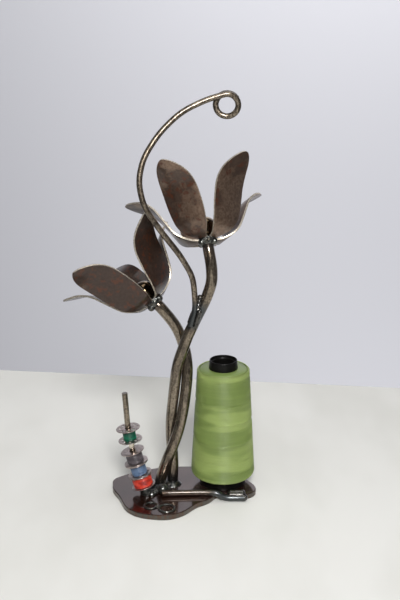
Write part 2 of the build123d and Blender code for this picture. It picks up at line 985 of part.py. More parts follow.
stem_foot_weld = make_foot_weld([upper_stem, lower_stem], foot_rod)
finish(stem_foot_weld, "stem_foot_weld")
finish(make_guide_weld(), "guide_arm_weld")
finish(make_post_weld(bobbin_post, stem_foot_weld), "post_foot_weld")
finish(make_rim_weld(), "foot_rod_weld")
finish(make_bead_rings(), "plate_bead_rings")

for colour, plane, radius_share, holed in bobbins:
    finish(make_spool(plane, holed), colour + "_bobbin_spool")
    pack, turns = make_bobbin_thread(plane, radius_share)
    finish(pack, colour + "_thread_pack")
    finish(turns, colour + "_thread_turns")

finish(make_core(), "cone_core")
cone_pack, cone_winding = make_cone_thread()
finish(cone_pack, "cone_thread_pack")
finish(cone_winding, "cone_thread_turns")
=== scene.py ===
"""The looks of a welded steel thread rack with two flowers, four bobbins and a cone of thread."""

import json
import logging
from dataclasses import dataclass, field
from enum import Enum
from math import cos, pi, radians, sin
from typing import Callable, ClassVar, Iterable, Mapping, Sequence, Union

import bpy
import numpy as np
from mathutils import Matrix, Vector

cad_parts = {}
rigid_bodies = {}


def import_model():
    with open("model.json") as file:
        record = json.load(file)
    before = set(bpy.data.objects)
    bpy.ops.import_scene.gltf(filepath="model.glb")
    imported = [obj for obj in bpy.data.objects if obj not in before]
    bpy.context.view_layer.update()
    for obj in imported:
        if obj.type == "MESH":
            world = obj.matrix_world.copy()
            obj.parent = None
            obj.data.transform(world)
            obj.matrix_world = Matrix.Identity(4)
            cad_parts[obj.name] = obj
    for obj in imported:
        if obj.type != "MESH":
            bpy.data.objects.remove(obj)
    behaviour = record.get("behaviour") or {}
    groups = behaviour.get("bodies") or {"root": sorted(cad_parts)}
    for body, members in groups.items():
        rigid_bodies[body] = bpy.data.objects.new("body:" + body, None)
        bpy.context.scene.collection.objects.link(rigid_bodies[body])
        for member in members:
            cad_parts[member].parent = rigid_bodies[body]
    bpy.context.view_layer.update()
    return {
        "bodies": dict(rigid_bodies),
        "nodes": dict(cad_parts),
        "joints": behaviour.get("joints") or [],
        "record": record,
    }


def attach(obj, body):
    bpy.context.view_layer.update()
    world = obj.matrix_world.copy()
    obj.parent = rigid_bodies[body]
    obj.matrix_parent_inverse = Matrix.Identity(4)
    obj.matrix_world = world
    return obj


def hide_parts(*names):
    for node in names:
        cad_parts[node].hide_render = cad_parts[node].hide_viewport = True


log = logging.getLogger("thread_rack")

MM = 0.001

Colour = tuple[float, float, float, float]
Place = tuple[float, float, float]
# A zone is a place in metres and how far it reaches.
Zones = tuple[tuple[float, float, float, float], ...]
Value = Union["Signal", float, Sequence[float]]


def tint(red: int, green: int, blue: int) -> Colour:
    """Linear colour of a shade given as it is seen on a screen.

    Args:
        red: Red, 0 to 255.
        green: Green, 0 to 255.
        blue: Blue, 0 to 255.

    Returns:
        The linear colour with full alpha.
    """

    def linear(level: int) -> float:
        """One channel in linear light, by the curve that screens use."""
        share = level / 255
        return share / 12.92 if share <= 0.04045 else ((share + 0.055) / 1.055) ** 2.4

    return (linear(red), linear(green), linear(blue), 1.0)


class Body(Enum):
    """The rigid bodies that the pieces ride on."""

    STAND = "stand"
    RED = "red_bobbin"
    BLUE = "blue_bobbin"
    GREY = "grey_bobbin"
    GREEN = "green_bobbin"
    CONE = "thread_cone"


class Signal:
    """A value that runs through a material's nodes, with arithmetic as Python expressions."""

    def __init__(self, shader: "Shader", socket: bpy.types.NodeSocket) -> None:
        """Wrap a socket.

        Args:
            shader: The shader that the socket belongs to.
            socket: The output socket that carries the value.
        """
        self.shader = shader
        self.socket = socket

    def __add__(self, other: Value) -> "Signal":
        """Sum."""
        return self.shader.maths("ADD", self, other)

    def __sub__(self, other: Value) -> "Signal":
        """Difference."""
        return self.shader.maths("SUBTRACT", self, other)

    def __mul__(self, other: Value) -> "Signal":
        """Product."""
        return self.shader.maths("MULTIPLY", self, other)

    def __radd__(self, other: Value) -> "Signal":
        """Sum with a plain number on the left."""
        return self.shader.maths("ADD", other, self)

    def __rsub__(self, other: Value) -> "Signal":
        """Difference with a plain number on the left."""
        return self.shader.maths("SUBTRACT", other, self)

    def __rmul__(self, other: Value) -> "Signal":
        """Product with a plain number on the left."""
        return self.shader.maths("MULTIPLY", other, self)

    def step(self, low: float, high: float) -> "Signal":
        """Smooth step from 0 at the low value to 1 at the high one.

        Args:
            low: The value that gives 0.
            high: The value that gives 1.

        Returns:
            The stepped value.
        """
        return self.shader.node(
            "ShaderNodeMapRange",
            {"interpolation_type": "SMOOTHSTEP"},
            {0: self, 1: low, 2: high},
        )


class Shader:
    """Builds the nodes of one material round a single surface shader."""

    NOISE_ROUGHNESS = 0.55

    def __init__(self, name: str) -> None:
        """Start an empty material.

        Args:
            name: The material's name.
        """
        self.material = bpy.data.materials.new(name)
        self.material.use_nodes = True
        self.tree = self.material.node_tree
        self.tree.nodes.clear()
        output = self.tree.nodes.new("ShaderNodeOutputMaterial")
        self.surface = self.tree.nodes.new("ShaderNodeBsdfPrincipled")
        self.tree.links.new(self.surface.outputs[0], output.inputs["Surface"])

    def feed(self, socket: bpy.types.NodeSocket, value: Value) -> None:
        """Link a signal to a socket, or set the socket to a constant.

        Args:
            socket: The input socket.
            value: The signal or the constant.
        """
        if isinstance(value, Signal):
            self.tree.links.new(value.socket, socket)
        else:
            socket.default_value = value

    def node(
        self,
        kind: str,
        settings: Mapping[str, object] | None = None,
        inputs: Mapping[int | str, Value] | None = None,
        output: int | str = 0,
    ) -> Signal:
        """Add a node.

        Args:
            kind: The node's type.
            settings: Its properties, and "stops" for a ramp's list of place and colour.
            inputs: Values or signals of its sockets, by name or number.
            output: The socket that the result comes from.

        Returns:
            The chosen output as a signal.
        """
        made = self.tree.nodes.new(kind)
        for key, value in (settings or {}).items():
            if key == "stops":
                ramp = made.color_ramp
                while len(ramp.elements) < len(value):
                    ramp.elements.new(1.0)
                for element, (position, colour) in zip(ramp.elements, value):
                    element.position = position
                    element.color = colour
            else:
                setattr(made, key, value)
        for key, value in (inputs or {}).items():
            self.feed(made.inputs[key], value)
        return Signal(self, made.outputs[output])

    def maths(self, operation: str, *values: Value) -> Signal:
        """Add a Math node for one operation on values."""
        inputs = dict(enumerate(values))
        return self.node("ShaderNodeMath", {"operation": operation}, inputs)

    def place(self, stretch: Sequence[float] = (1, 1, 1)) -> Signal:
        """Place on the piece, in its own coordinates, stretched along each axis."""
        spot = self.node("ShaderNodeTexCoord", output="Object")
        return self.node("ShaderNodeMapping", None, {"Vector": spot, "Scale": stretch})

    def noise(
        self,
        grain: float,
        detail: float = 3.0,
        stretch: Sequence[float] = (1, 1, 1),
    ) -> Signal:
        """Cloudy noise over the piece.

        Args:
            grain: Size of its patches, in metres.
            detail: Number of finer layers.
            stretch: Scale along each axis.

        Returns:
            A value from 0 to 1.
        """
        inputs = {
            "Vector": self.place(stretch),
            "Scale": 1 / grain,
            "Detail": detail,
            "Roughness": self.NOISE_ROUGHNESS,
        }
        return self.node("ShaderNodeTexNoise", {"normalize": True}, inputs)

    def near(self, spot: Sequence[float], inner: float, outer: float) -> Signal:
        """Mask round a spot.

        Args:
            spot: The spot, in the rack's frame.
            inner: Distance within which the mask is 1.
            outer: Distance past which it is 0.

        Returns:
            A value from 0 to 1.
        """
        away = self.node(
            "ShaderNodeVectorMath",
            {"operation": "DISTANCE"},
            {0: self.place(), 1: tuple(spot)},
            "Value",
        )
        return 1 - away.step(inner, outer)

    def mix(self, share: Value, first: Value, second: Value) -> Signal:
        """Blend two colours.

        Args:
            share: Share of the second colour.
            first: The first colour.
            second: The second colour.

        Returns:
            The blended colour.
        """
        return self.node(
            "ShaderNodeMix",
            {"data_type": "RGBA"},
            {0: share, 6: first, 7: second},
            2,
        )

    def ramp(self, value: Value, stops: Sequence[tuple[float, Colour]]) -> Signal:
        """Colour ramp over a value."""
        return self.node("ShaderNodeValToRGB", {"stops": stops}, {0: value})

    def bump(self, height: Value, depth: float, strength: float) -> None:
        """Give the surface relief.

        Args:
            height: Height from 0 to 1.
            depth: What a height of 1 stands for, in metres.
            strength: Share of the effect.
        """
        inputs = {"Height": height, "Distance": depth, "Strength": strength}
        self.feed(self.surface.inputs["Normal"], self.node("ShaderNodeBump", None, inputs))

    def surface_is(self, **values: Value) -> None:
        """Set the surface's sockets; underscores stand for spaces."""
        for key, value in values.items():
            self.feed(self.surface.inputs[key.replace("_", " ")], value)


@dataclass(frozen=True)
class Finish:
    """A named surface finish, made once and shared by the pieces that have it."""

    name: str

    def paint(self, shader: Shader) -> None:
        """Fill in the shader; each finish has its own way.

        Args:
            shader: The shader to fill in.
        """
        raise NotImplementedError

    def material(self) -> bpy.types.Material:
        """The finish's material, built on first use.

        Returns:
            The material.
        """
        made = bpy.data.materials.get(self.name)
        if made is None:
            shader = Shader(self.name)
            self.paint(shader)
            made = shader.material
        return made


@dataclass(frozen=True)
class LacqueredPlate(Finish):
    """Brown-black hot-rolled plate under thick clear lacquer, with a grey flame-cut rim."""

    dark: Colour = tint(42, 24, 18)
    brown: Colour = tint(60, 36, 28)
    worn: Colour = tint(84, 64, 58)
    rim: Colour = tint(78, 73, 66)
    rust: Colour = tint(84, 58, 40)
    heat: Colour = tint(222, 138, 30)
    heat_spots: tuple[Place, ...] = ((0.0745, -0.0205, 0.005),)
    heat_core: float = 0.4 * MM
    heat_reach: float = 1.1 * MM
    cloud_size: float = 26 * MM
    grain_size: float = 1.6 * MM
    drag_size: float = 2.2 * MM
    relief: float = 0.25 * MM

    def paint(self, shader: Shader) -> None:
        """Mottled brown top, coarser grey rim, and a mirror-like coat over both.

        Args:
            shader: The shader to fill in.
        """
        clouds = shader.noise(self.cloud_size, 5)
        grain = shader.noise(self.grain_size, 4)
        stops = [(0.3, self.dark), (0.5, self.brown), (0.72, self.worn)]
        top = shader.ramp(clouds * 0.75 + grain * 0.25, stops)
        drag = shader.noise(self.drag_size, 3, (1, 1, 0.25))
        rim = shader.mix(drag.step(0.42, 0.7), self.rim, self.rust)
        facing = shader.node("ShaderNodeTexCoord", output="Normal")
        upward = shader.node("ShaderNodeSeparateXYZ", None, {0: facing}, 2)
        side = 1 - shader.maths("ABSOLUTE", upward).step(0.35, 0.9)
        colour = shader.mix(side, top, rim)
        for spot in self.heat_spots:
            warm = shader.near(spot, self.heat_core, self.heat_reach)
            colour = shader.mix(warm, colour, self.heat)
        shader.surface_is(
            Base_Color=colour,
            Metallic=0.7 - side * 0.2,
            Roughness=0.18 + grain * 0.1 + side * 0.18,
            Coat_Weight=0.85 - side * 0.3,
            Coat_Roughness=0.045,
            Coat_IOR=1.45,
        )
        shader.bump(grain * 0.5 + drag * side * 1.6, self.relief, 0.35)


@dataclass(frozen=True)
class LacqueredRod(Finish):
    """Round mild steel under lacquer: warm grey, with drawn streaks, scale and heat colours."""

    light: Colour = tint(152, 139, 121)
    dark: Colour = tint(80, 69, 57)
    scale: Colour = tint(48, 38, 31)
    heat: Colour = tint(84, 62, 46)
    blue: Colour = tint(66, 69, 70)
    # Cream colour of a painted highlight, where the rod shines brightest.
    bare: Colour = tint(214, 204, 188)
    heat_zones: Zones = ()
    blued: Zones = ()
    bare_spots: Zones = ()
    streak: tuple[float, float, float] = (1, 1, 0.06)
    streak_size: float = 0.8 * MM
    patch_size: float = 9 * MM
    grain_size: float = 1.5 * MM
    relief: float = 0.1 * MM
    roughness: float = 0.15

    def paint(self, shader: Shader) -> None:
        """Streaks along the rod, dark scale in patches, and heat tints beside the welds.

        Args:
            shader: The shader to fill in.
        """
        streaks = shader.noise(self.streak_size, 3, self.streak)
        patches = shader.noise(self.patch_size, 5, (1, 1, 0.45))
        grain = shader.noise(self.grain_size, 4)
        worn = (streaks * 0.4 + grain * 0.6).step(0.38, 0.62)
        colour = shader.mix(worn, self.dark, self.light)
        colour = shader.mix(patches.step(0.46, 0.7) * 0.75, colour, self.scale)
        for zone in self.heat_zones:
            colour = shader.mix(self.mask(shader, zone, 0.25) * 0.7, colour, self.heat)
            colour = shader.mix(self.mask(shader, zone, 0.25, 0.75) * 0.8, colour, self.blue)
        for zone in self.blued:
            colour = shader.mix(self.mask(shader, zone, 0.5), colour, self.blue)
        # Painted highlight: spots of cream where the rod shines brightest.
        for zone in self.bare_spots:
            colour = shader.mix(self.mask(shader, zone, 0.6), colour, self.bare)
        shader.surface_is(
            Base_Color=colour,
            Metallic=0.9,
            Roughness=self.roughness + patches * 0.12,
            Coat_Weight=0.6,
            Coat_Roughness=0.12,
        )
        shader.bump(streaks + patches, self.relief, 0.22)

    @staticmethod
    def mask(shader: Shader, zone: Sequence[float], core: float, edge: float = 1.0) -> Signal:
        """Mask of one zone.

        Args:
            shader: The shader.
            zone: The zone's place and reach.
            core: Share of the reach that it fills evenly.
            edge: Share of the reach at which it has faded out.

        Returns:
            A value from 0 to 1.
        """
        *place, reach = zone
        return shader.near(place, reach * core, reach * edge)


@dataclass(frozen=True)
class PetalSheet(Finish):
    """Lacquered sheet with the soft mottles and rust stains of old steel."""

    light: Colour = tint(138, 115, 97)
    base: Colour = tint(102, 81, 67)
    stain: Colour = tint(44, 28, 21)
    rust: Colour = tint(84, 45, 26)
    stain_from: float = 0.5
    stain_fade: float = 0.08
    mottle_size: float = 2.2 * MM
    cloud_size: float = 26 * MM
    blotch_size: float = 5.5 * MM
    relief: float = 0.08 * MM

    def paint(self, shader: Shader) -> None:
        """Fine mottles everywhere, with a few large dark stains and rust flecks in them.

        Args:
            shader: The shader to fill in.
        """
        mottle = shader.noise(self.mottle_size, 5)
        cloud = shader.noise(self.cloud_size, 3)
        blotch = shader.noise(self.blotch_size, 4)
        stain_full = self.stain_from + self.stain_fade
        stained = (cloud + mottle * 0.3 - 0.15).step(self.stain_from, stain_full)
        rusted = (blotch * 0.7 + mottle * 0.3).step(0.53, 0.6)
        colour = shader.mix(mottle.step(0.3, 0.7), self.base, self.light)
        colour = shader.mix(rusted * 0.15, colour, self.rust)
        colour = shader.mix(stained * 0.8, colour, self.stain)
        colour = shader.mix(stained * rusted * 0.85, colour, self.rust)
        shader.surface_is(
            Base_Color=colour,
            Metallic=0.8 - stained * 0.3,
            Roughness=0.34 + mottle * 0.14,
            Coat_Weight=0.5,
            Coat_Roughness=0.12,
        )
        shader.bump(mottle, self.relief, 0.3)


@dataclass(frozen=True)
class GroundEdge(Finish):
    """Cut edge of sheet, coloured bright as a painted highlight along the edge."""

    # bright is the colour of the painted highlight on the edge.
    bright: Colour = tint(232, 222, 206)
    dull: Colour = tint(158, 146, 128)
    scratch_size: float = 0.9 * MM
    relief: float = 0.06 * MM

    def paint(self, shader: Shader) -> None:
        """Bright colour of a painted highlight, with short dull scratches.

        Args:
            shader: The shader to fill in.
        """
        scratch = shader.noise(self.scratch_size, 3)
        shader.surface_is(
            Base_Color=shader.mix(scratch.step(0.35, 0.7), self.bright, self.dull),
            Metallic=0.75,
            Roughness=0.36 + scratch * 0.15,
        )
        shader.bump(scratch, self.relief, 0.3)


@dataclass(frozen=True)
class WeldBead(Finish):
    """Lumpy weld metal under lacquer, grey with dark and straw tints."""

    metal: Colour = tint(98, 98, 92)
    dark: Colour = tint(48, 50, 50)
    straw: Colour = tint(104, 90, 70)
    heat: Colour = tint(226, 140, 28)
    heat_spots: tuple[Place, ...] = ()
    heat_core: float = 0.3 * MM
    heat_reach: float = 0.8 * MM
    patch_size: float = 2.4 * MM
    ripple_size: float = 0.7 * MM
    straw_size: float = 5 * MM
    relief: float = 0.15 * MM

    def paint(self, shader: Shader) -> None:
        """Dark and bright patches, ripples, and a spot of orange heat tint where there is one.

        Args:
            shader: The shader to fill in.
        """
        patch = shader.noise(self.patch_size, 4)
        ripple = shader.noise(self.ripple_size, 3)
        straw = shader.noise(self.straw_size)
        colour = shader.mix(patch.step(0.36, 0.64), self.dark, self.metal)
        colour = shader.mix(straw.step(0.56, 0.72) * 0.6, colour, self.straw)
        for spot in self.heat_spots:
            warm = shader.near(spot, self.heat_core, self.heat_reach)
            colour = shader.mix(warm, colour, self.heat)
        shader.surface_is(
            Base_Color=colour,
            Metallic=0.9,
            Roughness=0.24 + ripple * 0.14,
            Coat_Weight=0.7,
            Coat_Roughness=0.06,
        )
        shader.bump(ripple + patch * 0.6, self.relief, 0.3)


@dataclass(frozen=True)
class PolishedBall(Finish):
    """Polished steel ball, faintly golden, with fine scratches."""

    metal: Colour = tint(150, 124, 88)
    smoke: Colour = tint(74, 58, 42)
    haze_size: float = 6 * MM
    scratch_size: float = 0.8 * MM

    def paint(self, shader: Shader) -> None:
        """Mirror finish with a smoky tint in places.

        Args:
            shader: The shader to fill in.
        """
        haze = shader.noise(self.haze_size, 3)
        scratch = shader.noise(self.scratch_size, 2, (1, 1, 0.1))
        shader.surface_is(
            Base_Color=shader.mix(haze.step(0.3, 0.6), self.metal, self.smoke),
            Metallic=1.0,
            Roughness=0.08 + scratch * 0.07,
            Coat_Weight=0.4,
            Coat_Roughness=0.05,
        )


@dataclass(frozen=True)
class BobbinMetal(Finish):
    """Thin plated metal of the bobbins, with a turned sheen."""

    metal: Colour = tint(184, 172, 168)
    dull: Colour = tint(146, 134, 130)
    patch_size: float = 2.6 * MM
    sheen_size: float = 0.5 * MM
    relief: float = 0.04 * MM

    def paint(self, shader: Shader) -> None:
        """Bright plating, dulled in small patches.

        Args:
            shader: The shader to fill in.
        """
        patch = shader.noise(self.patch_size, 4)
        shader.surface_is(
            Base_Color=shader.mix(patch.step(0.38, 0.7), self.metal, self.dull),
            Metallic=0.95,
            Roughness=0.24 + patch * 0.14,
        )
        shader.bump(shader.noise(self.sheen_size), self.relief, 0.3)


@dataclass(frozen=True)
class SpunThread(Finish):
    """Wound sewing thread: soft sheen, with lighter and darker bands from lay to lay as painted
    sheen.
    """

    light: Colour
    dark: Colour
    lay_size: float = 3 * MM
    lay_stretch: tuple[float, float, float] = (0.2, 0.2, 1)
    strand_size: float = 0.7 * MM
    strand_stretch: tuple[float, float, float] = (0.02, 0.02, 1)
    gloss: float = 0.36

    def paint(self, shader: Shader) -> None:
        """Colour that changes from lay to lay as painted sheen, with fine strands in it.

        Args:
            shader: The shader to fill in.
        """
        # Painted sheen: slow bands along the axis, lighter and darker, where the thread's sheen
        # changes.
        lays = shader.noise(self.lay_size, 1, self.lay_stretch)
        strands = shader.noise(self.strand_size, 2, self.strand_stretch)
        share = lays.step(0.42, 0.56) * 0.7 + strands.step(0.35, 0.65) * 0.2
        shader.surface_is(
            Base_Color=shader.mix(share, self.dark, self.light),
            Roughness=self.gloss + strands * 0.1,
            Specular_IOR_Level=0.7,
            Sheen_Weight=0.04,
            Sheen_Roughness=0.4,
        )


@dataclass(frozen=True)
class MouldedPlastic(Finish):
    """Black moulded plastic with a soft gloss and faint turning marks."""

    black: Colour = tint(13, 12, 11)
    grey: Colour = tint(26, 24, 22)
    scuff_size: float = 1.8 * MM
    relief: float = 0.06 * MM

    def paint(self, shader: Shader) -> None:
        """Fine scuffs round the rim.

        Args:
            shader: The shader to fill in.
        """
        scuff = shader.noise(self.scuff_size, 4, (1, 1, 4))
        shader.surface_is(
            Base_Color=shader.mix(scuff.step(0.5, 0.8), self.black, self.grey),
            Roughness=0.26 + scuff * 0.15,
            Specular_IOR_Level=0.22,
        )
        shader.bump(scuff, self.relief, 0.3)


@dataclass(frozen=True)
class TableCloth(Finish):
    """Plain white cloth on the table, with soft creases."""

    white: Colour = tint(230, 229, 224)
    shade: Colour = tint(222, 221, 215)
    crease_size: float = 0.11
    relief: float = 6 * MM

    def paint(self, shader: Shader) -> None:
        """Nearly even white with slow changes of tone.

        Args:
            shader: The shader to fill in.
        """
        crease = shader.noise(self.crease_size, 3, (1, 0.45, 1))
        shader.surface_is(
            Base_Color=shader.mix(crease.step(0.35, 0.65), self.shade, self.white),
            Roughness=0.9,
            Specular_IOR_Level=0.2,
        )
        shader.bump(crease, self.relief, 0.35)


@dataclass(frozen=True)
class WallPaint(Finish):
    """Plain cool grey backdrop."""

    grey: Colour = tint(206, 206, 212)
    roller_size: float = 0.3

    def paint(self, shader: Shader) -> None:
        """One even colour with a trace of roller texture.

        Args:
            shader: The shader to fill in.
        """
        roller = shader.noise(self.roller_size, 2)
        shader.surface_is(Base_Color=self.grey, Roughness=0.85 + roller * 0.1)


class Workshop:
    """Modelling moves that several sub-assemblies share."""

    MERGE_DISTANCE = 0.002 * MM
    SHARP_ANGLE = 40.0
    SMOOTH_ANGLE = 38.0
    EASE_FACTOR = 0.6
    EASE_ROUNDS = 9
    LUMP_SPACING = 3.4 * MM

    def __init__(self, frame: Mapping[str, object]) -> None:
        """Keep the frame.
        """
        self.nodes: dict[str, bpy.types.Object] = frame["nodes"]

    @staticmethod
    def select(piece: bpy.types.Object) -> None:
        """Select one object alone and make it active.

        Args:
            piece: The object.
        """
        if bpy.context.object and bpy.context.object.mode != "OBJECT":
            bpy.ops.object.mode_set(mode="OBJECT")
        bpy.ops.object.select_all(action="DESELECT")
        piece.select_set(True)
        bpy.context.view_layer.objects.active = piece

    def copy_node(self, node: str, name: str) -> bpy.types.Object:
        """Copy a frame node's mesh into a piece of its own, with its loose triangles merged.

        Args:
            node: The node to copy.
            name: The new piece's name.

        Returns:
            The new piece.
        """
        piece = bpy.data.objects.new(name, self.nodes[node].data.copy())
        bpy.context.scene.collection.objects.link(piece)
        piece.data.materials.clear()
        self.select(piece)
        bpy.ops.object.mode_set(mode="EDIT")
        bpy.ops.mesh.select_all(action="SELECT")
        bpy.ops.mesh.remove_doubles(threshold=self.MERGE_DISTANCE)
        bpy.ops.mesh.normals_make_consistent(inside=False)
        bpy.ops.object.mode_set(mode="OBJECT")
        return piece

    def soften(self, piece: bpy.types.Object, width: float, segments: int = 2) -> None:
        """Round a piece's sharp edges and shade it smooth.

        Args:
            piece: The piece.
            width: Width of the rounding, in metres.
            segments: Number of strips across it.
        """
        self.select(piece)
        bevel = piece.modifiers.new("rounding", "BEVEL")
        bevel.limit_method = "ANGLE"
        bevel.angle_limit = radians(self.SHARP_ANGLE)
        bevel.width = width
        bevel.segments = segments
        bevel.use_clamp_overlap = True
        bpy.ops.object.modifier_apply(modifier=bevel.name)
        bpy.ops.object.shade_smooth_by_angle(angle=radians(self.SMOOTH_ANGLE))

    def roughen(self, piece: bpy.types.Object, voxel: float, swell: float, lump: float) -> None:
        """Turn crisp solids into run-together weld metal.

        Args:
            piece: The piece.
            voxel: Size of the new mesh's faces.
            swell: How far the surface moves out.
            lump: Height of the lumps.
        """
        self.select(piece)
        piece.data.remesh_voxel_size = voxel
        bpy.ops.object.voxel_remesh()
        grow = piece.modifiers.new("swell", "DISPLACE")
        grow.strength = swell
        grow.mid_level = 0.0
        bpy.ops.object.modifier_apply(modifier=grow.name)
        bpy.ops.object.voxel_remesh()
        ease = piece.modifiers.new("ease", "SMOOTH")
        ease.factor = self.EASE_FACTOR
        ease.iterations = self.EASE_ROUNDS
        bpy.ops.object.modifier_apply(modifier=ease.name)
        clouds = bpy.data.textures.new(piece.name + "_lumps", "CLOUDS")
        clouds.noise_scale = self.LUMP_SPACING
        relief = piece.modifiers.new("lumps", "DISPLACE")
        relief.texture = clouds
        relief.texture_coords = "LOCAL"
        relief.strength = lump
        relief.mid_level = 0.5
        bpy.ops.object.modifier_apply(modifier=relief.name)
        bpy.ops.object.shade_smooth()

    @staticmethod
    def dress(piece: bpy.types.Object, *finishes: Finish) -> None:
        """Give a piece its finishes.

        Args:
            piece: The piece.
            finishes: One finish for each material slot.
        """
        piece.data.materials.clear()
        for finish in finishes:
            piece.data.materials.append(finish.material())

    def paint_node(self, node: str, finish: Finish) -> None:
        """Give a frame node that stays a better material.

        Args:
            node: The node.
            finish: Its finish.
        """
        for slot in self.nodes[node].material_slots:
            slot.material = finish.material()
        log.info("%s: %s", node, finish.name)

    def add_piece(
        self, piece: bpy.types.Object, body: Body, slot: str, replaced: Iterable[str] = ()
    ) -> None:
        """Tie a finished piece to its body, and hide the nodes that it stands for.

        Args:
            piece: The piece.
            body: The body that it rides on.
            slot: Its material slot in the record; not used.
            replaced: The nodes that it replaces.
        """
        nodes = tuple(replaced)
        if nodes:
            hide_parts(*nodes)
        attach(piece, body.value)
        log.info("%s: %d faces", piece.name, len(piece.data.polygons))


@dataclass
class Plate:
    """The free-form base plate and the rods that lie or stand on it."""

    workshop: Workshop
    tip_round: float = 2.0 * MM
    end_round: float = 0.5 * MM
    round_strips: int = 4
    foot_light: Colour = tint(86, 74, 61)
    foot_dark: Colour = tint(54, 44, 36)
    foot_roughness: float = 0.3
    foot_streak: tuple[float, float, float] = (0.06, 1, 1)
    foot_heat: Zones = ((-0.003, -0.021, 0.008, 0.012),)
    foot_blue: Zones = ((0.056, -0.027, 0.004, 0.024),)
    post_heat: Zones = ((-0.0168, -0.0215, 0.008, 0.012),)
    # A painted highlight on the post between the green and the grey bobbin.
    post_bare: Zones = ((-0.0289, -0.0215, 0.0525, 0.006),)

    def build(self) -> None:
        """Dress the plate, the foot rod, the bobbin post and the hidden pin."""
        self.workshop.paint_node("base_plate", LacqueredPlate("lacquered_plate"))
        foot = LacqueredRod(
            "foot_rod_steel",
            self.foot_light,
            self.foot_dark,
            heat_zones=self.foot_heat,
            blued=self.foot_blue,
            streak=self.foot_streak,
            roughness=self.foot_roughness,
        )
        post = LacqueredRod("post_steel", heat_zones=self.post_heat, bare_spots=self.post_bare)
        self.rod("foot_rod", foot, self.end_round)
        self.rod("bobbin_post", post, self.tip_round)
        self.rod("cone_spindle", post, self.end_round)

    def rod(self, node: str, finish: Finish, end_round: float) -> None:
        """Model one rod with its cut ends rounded off.

        Args:
            node: The rod's node.
            finish: Its finish.
            end_round: Width of the rounding at its ends.
        """
        piece = self.workshop.copy_node(node, node + "_steel")
        self.workshop.soften(piece, end_round, self.round_strips)
        self.workshop.dress(piece, finish)
        self.workshop.add_piece(piece, Body.STAND, "rod_steel", [node])


@dataclass
class Stems:
    """The two twisted stems and the arm with the thread eye."""

    workshop: Workshop
    upper_heat: Zones = (
        (0.0348, -0.002, 0.220, 0.014),
        (0.020, -0.006, 0.163, 0.02),
        (0.004, -0.005, 0.006, 0.02),
    )
    lower_heat: Zones = (
        (-0.0097, 0.0, 0.170, 0.014),
        (-0.006, -0.007, 0.006, 0.02),
    )
    arm_heat: Zones = ((0.016, -0.012, 0.158, 0.022),)
    joint_blue: Zones = ((0.0235, -0.010, 0.163, 0.017),)
    arm_roughness: float = 0.3
    end_round: float = 0.5 * MM
    round_strips: int = 3

    def build(self) -> None:
        """Dress both stems and the arm."""
        blued = self.joint_blue
        upper = LacqueredRod("upper_stem_steel", heat_zones=self.upper_heat, blued=blued)
        lower = LacqueredRod("lower_stem_steel", heat_zones=self.lower_heat)
        arm = LacqueredRod(
            "arm_steel", heat_zones=self.arm_heat, blued=blued, roughness=self.arm_roughness
        )
        for node, finish in (("upper_stem", upper), ("lower_stem", lower), ("guide_arm", arm)):
            piece = self.workshop.copy_node(node, node + "_steel")
            self.workshop.soften(piece, self.end_round, self.round_strips)
            self.workshop.dress(piece, finish)
            self.workshop.add_piece(piece, Body.STAND, "rod_steel", [node])


@dataclass
class Flower:
    """One flower: five bent petals, their edges coloured as painted highlights, round a polished
    ball.
    """

    workshop: Workshop
    name: str
    stain_from: Sequence[float]
    # Mottle colours; the lower flower passes darker copies, painted shade.
    light: Colour = PetalSheet.light
    base: Colour = PetalSheet.base
    edge_round: float = 0.25 * MM
    rim_share: float = 0.35

    def build(self) -> None:
        """Model and dress the petals and the ball."""
        for number, stain_from in enumerate(self.stain_from, 1):
            self.petal(self.name + "_petal_" + str(number), stain_from)
        self.workshop.paint_node(self.name + "_ball", PolishedBall("polished_ball"))

    def petal(self, node: str, stain_from: float) -> None:
        """Round a petal's edges, and give its rim the bright finish of a painted highlight.

        Args:
            node: The petal's node.
            stain_from: How much of it is stained: less is more.
        """
        workshop = self.workshop
        piece = workshop.copy_node(node, node + "_sheet")
        sheet = PetalSheet(node + "_steel", self.light, self.base, stain_from=stain_from)
        # The rim faces get the bright edge finish, a painted highlight along the cut edge.
        workshop.dress(piece, sheet, GroundEdge("ground_edge"))
        square = self.square_direction(piece)
        rim = [abs(face.normal.dot(square)) < self.rim_share for face in piece.data.polygons]
        for face, on_rim in zip(piece.data.polygons, rim):
            face.material_index = 1 if on_rim else 0
        workshop.soften(piece, self.edge_round)
        workshop.add_piece(piece, Body.STAND, "petal_steel", [node])

    @staticmethod
    def square_direction(piece: bpy.types.Object) -> Vector:
        """Direction in which a petal is thinnest, square to its length and width.

        Args:
            piece: The petal.

        Returns:
            The direction, one metre long.
        """
        places = np.array([vertex.co for vertex in piece.data.vertices])
        spread = np.cov((places - places.mean(axis=0)).T)
        return Vector(np.linalg.eigh(spread)[1][:, 0])


